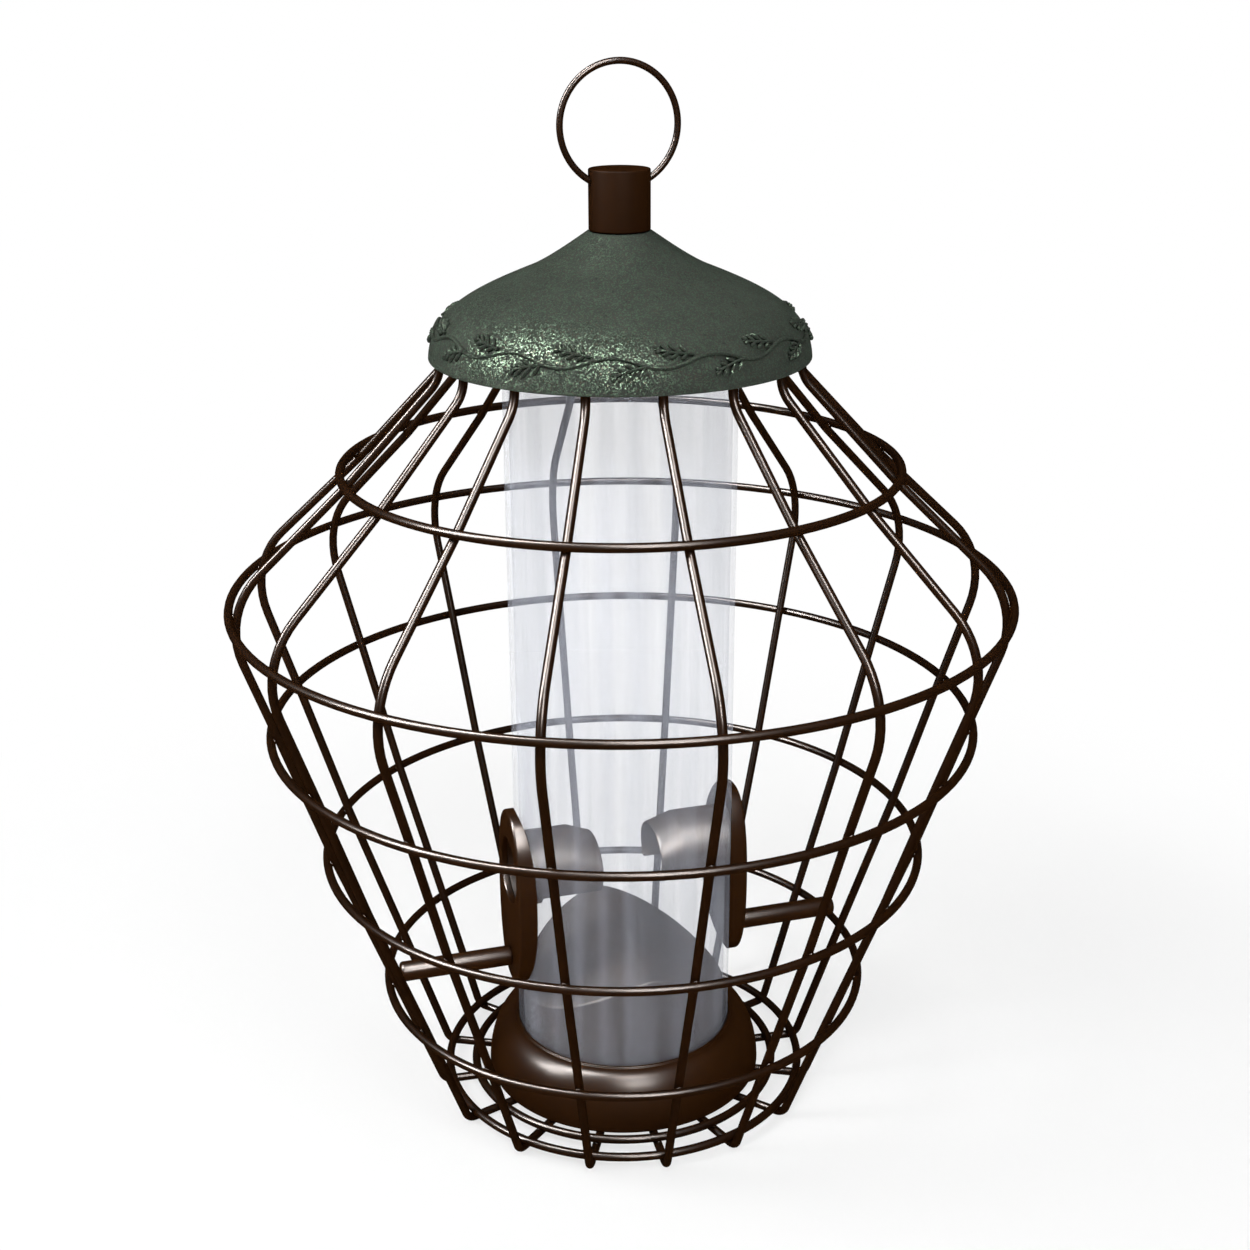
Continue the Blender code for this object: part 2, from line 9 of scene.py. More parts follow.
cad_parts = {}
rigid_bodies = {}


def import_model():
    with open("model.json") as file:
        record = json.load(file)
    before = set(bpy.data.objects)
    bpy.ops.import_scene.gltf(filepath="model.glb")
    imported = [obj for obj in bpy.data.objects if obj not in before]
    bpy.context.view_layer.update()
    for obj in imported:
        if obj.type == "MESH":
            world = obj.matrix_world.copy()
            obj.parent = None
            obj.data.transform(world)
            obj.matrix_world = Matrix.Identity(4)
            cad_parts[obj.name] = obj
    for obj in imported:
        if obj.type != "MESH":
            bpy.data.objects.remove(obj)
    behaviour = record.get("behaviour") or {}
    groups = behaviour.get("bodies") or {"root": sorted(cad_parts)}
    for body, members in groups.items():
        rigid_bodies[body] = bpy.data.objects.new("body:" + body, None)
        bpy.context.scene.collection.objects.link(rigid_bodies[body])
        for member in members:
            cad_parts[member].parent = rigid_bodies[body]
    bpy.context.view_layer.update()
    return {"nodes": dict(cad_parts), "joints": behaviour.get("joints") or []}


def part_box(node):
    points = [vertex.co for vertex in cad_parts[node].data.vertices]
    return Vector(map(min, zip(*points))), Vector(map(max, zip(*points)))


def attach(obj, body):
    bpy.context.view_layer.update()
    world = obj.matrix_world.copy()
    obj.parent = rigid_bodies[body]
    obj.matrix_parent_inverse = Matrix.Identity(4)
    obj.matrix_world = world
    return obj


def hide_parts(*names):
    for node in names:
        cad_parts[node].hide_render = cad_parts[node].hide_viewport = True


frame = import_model()
scene = bpy.context.scene
scene.view_settings.view_transform = "Standard"
print("frame loaded:", len(frame["nodes"]), "nodes")


# Shader nodes as plain sums

class Signal:
    def __init__(self, finish, socket):
        self.finish = finish
        self.socket = socket

    def maths(self, operation, first, second):
        return self.finish.node("Math", {"operation": operation}, {0: first, 1: second})

    def __add__(self, other):
        return self.maths("ADD", self, other)

    def __sub__(self, other):
        return self.maths("SUBTRACT", self, other)

    def __rsub__(self, other):
        return self.maths("SUBTRACT", other, self)

    def __mul__(self, other):
        return self.maths("MULTIPLY", self, other)

    __radd__ = __add__
    __rmul__ = __mul__


class Finish:
    def __init__(self, name, constants):
        self.material = bpy.data.materials.new(name)
        self.material.use_nodes = True
        self.tree = self.material.node_tree
        self.shader = self.tree.nodes["Principled BSDF"]
        self.plug(self.shader, constants)

    def plug(self, node, sockets):
        for name, value in sockets.items():
            if isinstance(value, Signal):
                self.tree.links.new(value.socket, node.inputs[name])
            else:
                node.inputs[name].default_value = value

    def node(self, kind, settings, sockets, output=0):
        made = self.tree.nodes.new("ShaderNode" + kind)
        for name, value in settings.items():
            if name == "stops":
                self.setStops(made.color_ramp.elements, value)
            else:
                setattr(made, name, value)
        self.plug(made, sockets)
        return Signal(self, made.outputs[output])

    def setStops(self, elements, stops):
        for index, (place, shade) in enumerate(stops):
            element = elements[index] if index < len(elements) else elements.new(place)
            element.position = place
            element.color = (shade, shade, shade, 1)

    def place(self):  # metres on the piece itself, so the finish moves with it
        return self.node("TexCoord", {}, {}, "Object")

    def stretched(self, across, along):
        return self.node("VectorMath", {"operation": "MULTIPLY"}, {0: self.place(), 1: (across, across, along)})

    def grain(self, size, detail=2.0, roughness=0.5, where=None):  # size of a speck in metres
        sockets = {"Vector": where or self.place(), "Scale": 1 / size, "Detail": detail, "Roughness": roughness}
        return self.node("TexNoise", {}, sockets)

    def cells(self, size, output="Color"):
        return self.node("TexVoronoi", {}, {"Vector": self.place(), "Scale": 1 / size}, output)

    def ramp(self, value, stops):
        return self.node("ValToRGB", {"stops": stops}, {"Fac": value})

    def blend(self, factor, first, second, mode="MIX"):
        settings = {"data_type": "RGBA", "blend_type": mode}
        return self.node("Mix", settings, {0: factor, 6: first, 7: second}, 2)

    def bump(self, height, depth, strength=1.0, facing=None):
        sockets = {"Height": height, "Distance": depth, "Strength": strength}
        if facing:
            sockets["Normal"] = facing
        return self.node("Bump", {}, sockets)

    def headOn(self):  # 1 where the skin faces the viewer, 0 at its grazing edge
        return 1 - self.node("LayerWeight", {}, {"Blend": 0.5}, "Facing")

    def tilted(self, chips, lean):  # the way the skin faces, leaning differently on each chip
        off = self.node("VectorMath", {"operation": "SUBTRACT"}, {0: chips, 1: (0.5, 0.5, 0.5)})
        facing = self.node("NewGeometry", {}, {}, "Normal")
        sockets = {0: off, 1: (lean, lean, lean), 2: facing}
        return self.node("VectorMath", {"operation": "MULTIPLY_ADD"}, sockets)


def colour(red, green, blue):  # screen values, 0 to 255, as a linear colour
    def channel(value):
        share = value / 255
        return share / 12.92 if share <= 0.04045 else ((share + 0.055) / 1.055) ** 2.4
    return channel(red), channel(green), channel(blue), 1.0


# Mesh tools

def softened(corners, bend, steps=5, closed=False):
    # an outline's corners, each turned by an arc; bend is one radius or a list with one for each corner
    places = [Vector(corner) for corner in corners]
    bends = bend if isinstance(bend, list) else [bend] * len(places)
    outline = []
    for index, corner in enumerate(places):
        isEnd = not closed and index in (0, len(places) - 1)
        if isEnd or not bends[index]:
            outline.append(corner)
            continue
        back = places[index - 1] - corner
        ahead = places[(index + 1) % len(places)] - corner
        half = back.angle(ahead) / 2
        reach = min(bends[index] / tan(half), back.length / 2, ahead.length / 2)
        radius = reach * tan(half)
        middle = corner + (back.normalized() + ahead.normalized()).normalized() * (radius / sin(half))
        first = corner + back.normalized() * reach - middle
        last = corner + ahead.normalized() * reach - middle
        swing = first.angle_signed(last)
        for step in range(steps + 1):
            arm = first.copy()
            arm.rotate(Matrix.Rotation(-swing * step / steps, 2))
            outline.append(middle + arm)
    return outline


def finished(bm, name, sharpDegrees=38):
    bmesh.ops.remove_doubles(bm, verts=bm.verts, dist=1e-7)
    bmesh.ops.recalc_face_normals(bm, faces=bm.faces)
    mesh = bpy.data.meshes.new(name)
    bm.to_mesh(mesh)
    bm.free()
    mesh.shade_smooth()
    mesh.set_sharp_from_angle(angle=radians(sharpDegrees))
    return mesh


def turned(name, outline, segments=128, closed=False, along="Z"):
    # outline is (radius, height); an open one starts and ends on the axis
    bm = bmesh.new()
    verts = [bm.verts.new((point[0], 0, point[1])) for point in outline]
    pairs = list(zip(verts, verts[1:]))
    if closed:
        pairs.append((verts[-1], verts[0]))
    edges = [bm.edges.new(pair) for pair in pairs]
    bmesh.ops.spin(bm, geom=verts + edges, cent=(0, 0, 0), axis=(0, 0, 1), angle=2 * pi,
                   steps=segments, use_merge=True)
    if along == "X":
        bmesh.ops.rotate(bm, verts=bm.verts, matrix=Matrix.Rotation(pi / 2, 3, "Y"))
    return finished(bm, name)


def sweep(bm, points, radii, ups, sides=12, height=1.0, closed=False):
    # a tube along the points; ups are the directions in which its section is height times as tall as wide
    loops = []
    last = len(points) - 1
    for index, point in enumerate(points):
        before = points[index - 1] if index or closed else point
        after = points[(index + 1) % len(points)] if index < last or closed else point
        ahead = (after - before).normalized()
        side = ahead.cross(ups[index]).normalized()
        up = side.cross(ahead)
        radius = radii[index]
        loops.append([bm.verts.new(point + side * radius * cos(angle) + up * radius * height * sin(angle))
                      for angle in (2 * pi * step / sides for step in range(sides))])
    pairs = list(zip(loops, loops[1:]))
    if closed:
        pairs.append((loops[-1], loops[0]))
    for low, high in pairs:
        for step in range(sides):
            after = (step + 1) % sides
            bm.faces.new((low[step], low[after], high[after], high[step]))
    if not closed:
        bm.faces.new(loops[0])
        bm.faces.new(loops[-1])


def prism(name, outline, low, high, bevel=0.0, along="Z"):
    # an (x, y) outline stood up along Z, or a (y, z) outline along X, with its long edges softened
    bm = bmesh.new()
    steps = 4 if bevel else 0
    rings = [(low, 0.0)]
    if bevel:
        arc = [pi / 2 * step / steps for step in range(steps + 1)]
        rings = [(low + bevel * (1 - sin(angle)), bevel * (1 - cos(angle))) for angle in reversed(arc)]
        rings += [(high - bevel * (1 - sin(angle)), bevel * (1 - cos(angle))) for angle in arc]
    else:
        rings.append((high, 0.0))
    places = [Vector(point) for point in outline]
    loops = []
    for place, inset in rings:
        loop = []
        for index, point in enumerate(places):
            run = places[(index + 1) % len(places)] - places[index - 1]
            inward = Vector((-run.y, run.x)).normalized() * inset
            across = point + inward
            corner = (across.x, across.y, place) if along == "Z" else (place, across.x, across.y)
            loop.append(bm.verts.new(corner))
        loops.append(loop)
    for lowLoop, highLoop in zip(loops, loops[1:]):
        for index in range(len(places)):
            after = (index + 1) % len(places)
            bm.faces.new((lowLoop[index], lowLoop[after], highLoop[after], highLoop[index]))
    bm.faces.new(loops[0])
    bm.faces.new(loops[-1])
    return finished(bm, name)


def carved(mesh, tools, operation="DIFFERENCE", sharpDegrees=38):
    # the mesh after each tool, a mesh with an optional place, has been cut from it or joined to it
    block = bpy.data.objects.new("block", mesh)
    scene.collection.objects.link(block)
    helpers = []
    for toolMesh, place in tools:
        helper = bpy.data.objects.new("helper", toolMesh)
        scene.collection.objects.link(helper)
        helper.location = place
        boolean = block.modifiers.new("cut", "BOOLEAN")
        boolean.operation = operation
        boolean.solver = "EXACT"
        boolean.object = helper
        helpers.append(helper)
    bpy.context.view_layer.update()
    graph = bpy.context.evaluated_depsgraph_get()
    result = bpy.data.meshes.new_from_object(block.evaluated_get(graph))
    for used in [block, *helpers]:
        bpy.data.objects.remove(used)
    result.name = mesh.name
    result.materials.clear()
    result.shade_smooth()
    result.set_sharp_from_angle(angle=radians(sharpDegrees))
    return result


def moved(mesh, x=0.0, y=0.0, z=0.0):
    mesh.transform(Matrix.Translation((x, y, z)))
    return mesh


def addPiece(name, mesh, finish, body, nodes=(), turn=0.0):
    piece = bpy.data.objects.new(name, mesh)
    scene.collection.objects.link(piece)
    if not mesh.materials:
        mesh.materials.append(finish.material)
    piece.rotation_euler.z = turn
    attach(piece, body)
    if nodes:
        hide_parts(*nodes)
    return piece


def nodeSpan(name):  # outer radius, lowest and highest point of a node that was turned about the tube's axis
    low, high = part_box(name)
    return high[0], low[2], high[2]


# Finishes

def wirePaint():
    finish = Finish("brown_powder_coat", {"Specular IOR Level": 0.0, "Coat Roughness": 0.26})
    patches = finish.grain(0.014, 3.0)
    skin = finish.grain(0.0007, 2.0)
    shade = finish.blend(patches, colour(27, 13, 2), colour(42, 22, 7))
    finish.plug(finish.shader, {
        "Base Color": shade,
        "Coat Weight": finish.headOn() * (0.018 + patches * 0.010),
        "Normal": finish.bump(skin, 0.00002, 0.30)})
    return finish


def mouldedBrown(name, dark, light, roughness, gloss):
    finish = Finish(name, {"Specular IOR Level": 0.0, "Coat Roughness": roughness})
    flow = finish.grain(0.030, 3.0, where=finish.stretched(1.0, 0.4))
    skin = finish.grain(0.0006, 2.0)
    finish.plug(finish.shader, {
        "Base Color": finish.blend(flow, dark, light),
        "Coat Weight": finish.headOn() * gloss * (0.9 + flow * 0.2),
        "Normal": finish.bump(skin, 0.00002, 0.30)})
    return finish


def hammeredGreen():
    finish = Finish("green_hammered_paint", {"Specular IOR Level": 0.0})
    flakes = finish.cells(0.00032)
    flakeValue = finish.node("SeparateColor", {}, {"Color": flakes}, 0)
    flakeTone = finish.node("SeparateColor", {}, {"Color": flakes}, 1)
    clouds = finish.grain(0.009, 4.0, 0.6)
    pits = finish.ramp(finish.grain(0.0016, 3.0, 0.65), [(0.60, 0.0), (0.72, 1.0)])
    bright = finish.ramp(flakeValue, [(0.66, 0.0), (0.82, 1.0)])
    rusty = finish.ramp(flakeTone, [(0.86, 0.0), (0.96, 1.0)])
    # painted shade: ambient occlusion darkens the paint in the creases round the vine and its leaves
    paintedNookShade = finish.node("AmbientOcclusion", {"samples": 8}, {"Distance": 0.0010}, 1)
    green = finish.blend(clouds, colour(53, 57, 52), colour(67, 72, 66))
    green = finish.blend(bright * 0.40, green, colour(74, 98, 78))
    green = finish.blend(rusty * 0.45, green, colour(74, 58, 52))
    green = finish.blend(pits * 0.5, green, colour(40, 44, 40))
    # the painted shade pulls the green towards a near-black green where the creases are occluded
    green = finish.blend(finish.ramp(paintedNookShade, [(0.30, 0.0), (0.66, 1.0)]), colour(18, 22, 18), green)
    height = flakeValue * 0.55 + finish.grain(0.00045, 2.0) * 0.8 - pits * 0.4
    finish.plug(finish.shader, {
        "Base Color": green,
        "Metallic": bright * finish.headOn() * 0.028,
        "Roughness": 0.30 + clouds * 0.05,
        "Normal": finish.bump(height, 0.00012, 0.6, finish.tilted(flakes, 0.32))})
    return finish


def clearTube():
    finish = Finish("clear_plastic", {"Base Color": colour(236, 241, 255), "Specular IOR Level": 0.0,
                                      "Coat Roughness": 0.12})
    streaks = finish.ramp(finish.grain(0.007, 3.0, where=finish.stretched(1.0, 0.04)), [(0.38, 0.0), (0.62, 1.0)])
    finish.plug(finish.shader, {
        "Coat Weight": finish.headOn() * 0.012,
        "Alpha": 0.125 + streaks * 0.09 - finish.headOn() * 0.05})
    return finish


def plated():
    finish = Finish("zinc_plate", {"Metallic": 1.0})
    brushed = finish.grain(0.0006, 4.0, where=finish.stretched(1.0, 6.0))
    spangle = finish.cells(0.0012, "Distance")
    finish.plug(finish.shader, {
        "Base Color": finish.blend(spangle, colour(176, 178, 184), colour(140, 142, 148)),
        "Roughness": 0.28 + brushed * 0.16,
        "Normal": finish.bump(brushed, 0.00002, 0.4)})
    return finish


wireFinish = wirePaint()
baseFinish = mouldedBrown("brown_gloss_base", colour(43, 22, 5), colour(53, 30, 10), 0.29, 0.0185)
portFinish = mouldedBrown("brown_gloss_ports", colour(43, 22, 5), colour(53, 30, 10), 0.27, 0.032)
hoodFinish = mouldedBrown("brown_satin_hoods", colour(46, 26, 10), colour(56, 34, 16), 0.42, 0.07)
deflectorFinish = mouldedBrown("brown_satin_deflector", colour(38, 21, 8), colour(47, 28, 13), 0.55, 0.05)
collarFinish = mouldedBrown("brown_collar", colour(38, 20, 7), colour(46, 26, 10), 0.50, 0.002)
lidFinish = hammeredGreen()
tubeFinish = clearTube()
steelFinish = plated()
print("finishes made")


# Cage

cage = {
    "wireRadius": 0.00145,
    "sides": 14,
    "count": 16,
    "firstTurn": radians(-3.95),
    "weldStep": 0.00281,  # between the centres of two wires that are welded
    "footInner": 0.014,
    "corners": {  # radius and rise of the uprights' bends
        "foot": (0.0662, 0.0), "lower": (0.0815, 0.0421), "middle": (0.1001, 0.0502), "upper": (0.1158, 0.0471),
        "widest": (0.1312, 0.0449), "shoulder": (0.0887, 0.0401), "neck": (0.05775, 0.0327), "end": (0.05775, 0.0092)},
    "bends": {"foot": 0.004, "widest": 0.0285, "neck": 0.012},
    "hoopSegments": 128,
    "weldSize": 0.00108,
}


def uprightPath():
    height = cage["wireRadius"]
    corners = [(cage["footInner"], height)]
    bends = [0]
    for name, (radius, rise) in cage["corners"].items():
        height += rise
        corners.append((radius, height))
        bends.append(cage["bends"].get(name, 0.003))
    return softened(corners, bends, steps=10)


def uprights(path):
    bm = bmesh.new()
    points = [Vector((point.x, 0, point.y)) for point in path]
    radius = cage["wireRadius"]
    ends = [(points[0] - points[1]).normalized() * radius * 0.3, (points[-1] - points[-2]).normalized() * radius * 0.3]
    points = [points[0] + ends[0]] + points + [points[-1] + ends[1]]  # a slight chamfer on each cut end
    radii = [radius * 0.75] + [radius] * len(path) + [radius * 0.75]
    sweep(bm, points, radii, [Vector((0, 1, 0))] * len(points), cage["sides"])
    mesh = finished(bm, "upright_wire")
    for index in range(cage["count"]):
        node = f"cage_upright_{index + 1:02d}"
        addPiece(f"upright_wire_{index + 1:02d}", mesh, wireFinish, "feeder", [node],
                 cage["firstTurn"] + 2 * pi * index / cage["count"])


def addWeld(bm, centre, outward, along):
    # the squeezed nugget between two crossed wires
    size = cage["weldSize"]
    side = outward.cross(along).normalized()
    turn = Matrix((outward * 0.55, side, along)).transposed().to_4x4()
    bmesh.ops.create_icosphere(bm, subdivisions=2, radius=size,
                               matrix=Matrix.Translation(centre) @ turn)


def hoop(name, node, radius, height, outward):
    # outward is the direction from the wires to the hoop, in the (radius, height) plane
    bm = bmesh.new()
    count = cage["hoopSegments"]
    angles = [cage["firstTurn"] + 2 * pi * step / count for step in range(count)]
    points = [Vector((radius * cos(angle), radius * sin(angle), height)) for angle in angles]
    wire = cage["wireRadius"]
    sweep(bm, points, [wire] * count, [Vector((0, 0, 1))] * count, cage["sides"], closed=True)
    for index in range(cage["count"]):
        angle = cage["firstTurn"] + 2 * pi * index / cage["count"]
        spin = Matrix.Rotation(angle, 3, "Z")
        out = spin @ Vector((outward.x, 0, outward.y))
        seat = spin @ Vector((radius, 0, height)) - out * wire
        along = spin @ Vector((-outward.y, 0, outward.x))
        addWeld(bm, seat, out, along)
    addPiece(name, finished(bm, name), wireFinish, "feeder", [node])


def hoops(path):
    rise = cage["wireRadius"]
    heights = {}
    for name, (radius, step) in cage["corners"].items():
        rise += step
        heights[name] = rise
    for name in ("lower", "middle", "upper", "widest", "shoulder"):
        bend = Vector((cage["corners"][name][0], heights[name]))
        index = min(range(len(path)), key=lambda step: (path[step] - bend).length)
        run = (path[index + 3] - path[index - 3]).normalized()
        outward = Vector((run.y, -run.x))
        seat = path[index] + outward * cage["weldStep"]
        hoop(f"{name}_hoop_wire", f"{name}_hoop", seat.x, seat.y, outward)
    wire = cage["wireRadius"]
    for name in ("outer_foot_ring", "inner_foot_ring"):
        outer = nodeSpan(name)[0] / cos(cage["firstTurn"]) - wire * cos(pi / 6)
        hoop(name + "_wire", name, outer, wire + cage["weldStep"], Vector((0, 1)))
    top = path[-1]
    low, high = nodeSpan("cage_top_ring")[1:]
    hoop("cage_top_ring_wire", "cage_top_ring", top.x - cage["weldStep"], (low + high) / 2, Vector((-1, 0)))


cagePath = uprightPath()
uprights(cagePath)
hoops(cagePath)
print("cage made")


# Seed tube

tube = {"wall": 0.0018, "edge": 0.0004, "segments": 160}
tubeRadius, tubeBottom, tubeTop = nodeSpan("seed_tube")
hoodRadius = (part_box("port_hood_right")[1][2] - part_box("port_hood_right")[0][2]) / 2
portAxis = (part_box("port_hood_right")[1][2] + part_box("port_hood_right")[0][2]) / 2


def portTool(radius, low, high, segments=96):
    return turned("port_tool", [(0, high), (radius, high), (radius, low), (0, low)], segments, along="X")


def seedTube():
    inner = tubeRadius - tube["wall"]
    outline = softened([(tubeRadius, tubeTop), (tubeRadius, tubeBottom), (inner, tubeBottom), (inner, tubeTop)],
                       tube["edge"], 3, closed=True)
    shell = turned("clear_seed_tube", outline, tube["segments"], closed=True)
    reach = tubeRadius * 1.2
    bore = portTool(hoodRadius + 0.0003, -reach, reach)
    shell = carved(shell, [(bore, (0, 0, portAxis))])
    addPiece("clear_seed_tube", shell, tubeFinish, "feeder", ["seed_tube"])


seedTube()


# Base

base = {"wall": 0.0021, "lip": 0.0011, "lipRise": 0.0006, "floor": 0.0020, "floorRise": 0.0077, "bossRadius": 0.0080,
        "pilot": 0.0027, "drains": 6, "drainRadius": 0.0018, "drainCircle": 0.023, "edge": 0.0004, "gap": 0.0003}
baseRadius, baseFoot, baseTop = nodeSpan("base_dish")


def quarterCurve(inner, outer, low, high, steps=22):
    angles = [pi / 2 * step / steps for step in range(steps + 1)]
    return [(inner + (outer - inner) * sin(angle), low + (high - low) * cos(angle)) for angle in angles]


def baseDish():
    wall, gap = base["wall"], base["gap"]
    floorTop = baseFoot + base["floorRise"]
    floorBottom = floorTop - base["floor"]
    lipInside = tubeRadius + gap
    lipOutside = lipInside + base["lip"]
    socketOutside = lipInside + wall
    bossBottom = nodeSpan("cage_hub_plate")[2] + gap
    pilotTop = nodeSpan("base_screw")[2] + gap
    skin = quarterCurve(lipOutside, baseRadius, baseFoot, baseTop - base["lipRise"])
    inside = quarterCurve(socketOutside, baseRadius - wall, baseFoot, baseTop - wall, 16)
    corners = [(0, floorTop), (lipInside, floorTop), (lipInside, baseTop), (lipOutside, baseTop)]
    corners += skin + list(reversed(inside))
    corners += [(socketOutside, floorBottom), (base["bossRadius"], floorBottom), (base["bossRadius"], bossBottom),
                (base["pilot"], bossBottom), (base["pilot"], pilotTop), (0, pilotTop)]
    soft = [0, 0.0006, base["edge"], base["edge"], base["edge"]] + [0] * (len(skin) - 2) + [0.0007, 0.0006]
    soft += [0] * (len(inside) - 1) + [0.0008, 0.0008, 0.0004, 0.0003, 0, 0]
    mesh = turned("base_dish_moulding", softened(corners, soft, 4), 160)
    drains = []
    for index in range(base["drains"]):
        angle = 2 * pi * index / base["drains"]
        hole = turned("drain", [(0, floorTop * 2), (base["drainRadius"], floorTop * 2),
                                (base["drainRadius"], 0), (0, 0)], 24)
        drains.append((hole, (base["drainCircle"] * cos(angle), base["drainCircle"] * sin(angle), 0)))
    addPiece("base_dish_moulding", carved(mesh, drains), baseFinish, "feeder", ["base_dish"])


def hubPlate():
    radius, low, high = nodeSpan("cage_hub_plate")
    hole = base["pilot"]
    outline = softened([(radius, high), (radius, low), (hole, low), (hole, high)], 0.0003, 3, closed=True)
    addPiece("hub_plate_disc", turned("hub_plate_disc", outline, 96, closed=True), steelFinish, "feeder",
             ["cage_hub_plate"])


def baseScrew():
    radius, low, high = nodeSpan("base_screw")
    head, shank, pitch = 0.0017, 0.0024, 0.0008
    seat = low + head
    corners = [(0, high), (shank * 0.55, high), (shank * 0.9, high - 0.001), (shank * 0.9, seat), (radius, seat),
               (radius, seat - head * 0.35), (radius * 0.62, low), (0, low)]
    soft = [0, 0.0002, 0.0002, 0.0002, 0.0002, 0.0012, 0.0006, 0]
    body = turned("base_clamp_screw", softened(corners, soft, 5), 48)
    slots = []
    for turn in (0, pi / 2):
        half, depth = 0.0022, 0.0011
        slot = prism("slot", [(-half, -0.00045), (half, -0.00045), (half, 0.00045), (-half, 0.00045)],
                     low - depth, low + depth)
        slot.transform(Matrix.Rotation(turn, 4, "Z"))
        slots.append((slot, (0, 0, 0)))
    body = carved(body, slots)
    bm = bmesh.new()
    bm.from_mesh(body)
    addThread(bm, shank * 0.9, shank, seat + pitch / 2, high - 0.001, pitch)
    addPiece("base_clamp_screw", finished(bm, "base_clamp_screw"), steelFinish, "feeder",
             ["base_screw"])


def addThread(bm, core, crest, low, high, pitch, perTurn=28):
    # a raised helix round a core
    count = int((high - low) / pitch * perTurn)
    points, radii, ups = [], [], []
    for step in range(count + 1):
        angle = 2 * pi * step / perTurn
        out = Vector((cos(angle), sin(angle), 0))
        points.append(out * core + Vector((0, 0, low + (high - low) * step / count)))
        fade = min(1.0, step / perTurn * 2, (count - step) / perTurn * 2)
        radii.append(pitch * 0.30 * max(fade, 0.05))
        ups.append(out)
    sweep(bm, points, radii, ups, 4, (crest - core) / (pitch * 0.30))


baseDish()
hubPlate()
baseScrew()


deflector = {"wall": 0.0016, "ridgeDrop": 0.0023, "ridgeRound": 0.0020, "slope": 0.31, "bow": 6.5, "eaves": 0.0008,
             "eavesSteps": 4, "segments": 160, "rings": 30}


def seedDeflector():
    # a round plug under an arched roof that falls to both ports
    outside, low, high = nodeSpan("seed_deflector")
    soft, count = deflector["ridgeRound"], deflector["segments"]
    turns = [2 * pi * step / count for step in range(count)]

    def roof(x):
        return (high - deflector["ridgeDrop"] - deflector["slope"] * (sqrt(x ** 2 + soft ** 2) - soft)
                - deflector["bow"] * x ** 2)

    def skin(bm, radius, sink):
        # wall, rounded eaves and roof, sunk below the outer skin; gives back the ring at its foot
        eaves, steps, rings = deflector["eaves"], deflector["eavesSteps"], deflector["rings"]
        arc = [pi / 2 * step / steps for step in range(steps + 1)]
        stops = [(radius - eaves * (1 - cos(angle)), eaves * (1 - sin(angle))) for angle in arc]
        stops += [((radius - eaves) * (1 - step / rings), 0) for step in range(1, rings)]
        loops = [[bm.verts.new((radius * cos(turn), radius * sin(turn), low)) for turn in turns]]
        for reach, drop in stops:
            loops.append([bm.verts.new((reach * cos(turn), reach * sin(turn), roof(reach * cos(turn)) - drop - sink))
                          for turn in turns])
        for outer, inner in zip(loops, loops[1:]):
            joinLoops(bm, outer, inner)
        middle = bm.verts.new((0, 0, roof(0) - sink))
        for index in range(count):
            bm.faces.new((loops[-1][index - 1], loops[-1][index], middle))
        return loops[0]

    def joinLoops(bm, outer, inner):
        for index in range(count):
            bm.faces.new((outer[index - 1], outer[index], inner[index], inner[index - 1]))

    bm = bmesh.new()
    foot = skin(bm, outside, 0)
    joinLoops(bm, foot, skin(bm, outside - deflector["wall"], deflector["wall"] * 1.15))
    addPiece("seed_gable", finished(bm, "seed_gable", 50), deflectorFinish, "feeder",
             ["seed_deflector"])


seedDeflector()
print("tube and base made")


# Seed ports

port = {"radius": 0.0116, "faceThickness": 0.0022, "roundness": 2.4, "edge": 0.0009, "mouthEdge": 0.0006,
        "knee": 0.0088, "endShare": 0.71, "skirt": 0.0073, "ringDepth": 0.0020, "socketRadius": 0.0025,
        "socketDepth": 0.0029, "segments": 96}
portSides = (("right", 0.0), ("left", pi))


def portFlange():
    low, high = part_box("port_flange_right")
    plane = high[0]
    halfWidth, halfHeight = (high[1] - low[1]) / 2, (high[2] - low[2]) / 2
    middle = (high[2] + low[2]) / 2
    perchAxis = (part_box("perch_right")[0][2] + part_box("perch_right")[1][2]) / 2
    power = 2 / port["roundness"]

    def corner(angle):
        across = abs(cos(angle)) ** power * (1 if cos(angle) >= 0 else -1)
        up = abs(sin(angle)) ** power * (1 if sin(angle) >= 0 else -1)
        return halfWidth * across, halfHeight * up

    count = 120
    outline = [corner(2 * pi * index / count) for index in range(count)]
    back = sqrt(tubeRadius ** 2 - halfWidth ** 2) - 0.004
    plate = moved(prism("flange", outline, back, plane, port["edge"], along="X"), z=middle)
    saddle = turned("saddle", [(0, halfHeight * 2), (tubeRadius + 0.0003, halfHeight * 2),
                               (tubeRadius + 0.0003, -halfHeight * 2), (0, -halfHeight * 2)], 256)
    recess = plane - port["faceThickness"]
    edge = port["mouthEdge"]
    fit = hoodRadius + 0.0003
    mouth = [(port["radius"] + edge * (1 - cos(angle)), plane - edge + edge * sin(angle))
             for angle in (pi / 2 * step / 5 for step in range(6))]
    outlineX = [(0, plane + edge * 2), (port["radius"] + edge, plane + edge * 2)] + list(reversed(mouth))
    outlineX += [(port["radius"], recess), (fit, recess), (fit, 0.02), (0, 0.02)]
    bore = turned("bore", outlineX, port["segments"], along="X")
    socket = portTool(port["socketRadius"], plane - port["socketDepth"], plane * 2, 32)
    return carved(plate, [(saddle, (0, 0, middle)), (bore, (0, 0, portAxis)), (socket, (0, 0, perchAxis))])


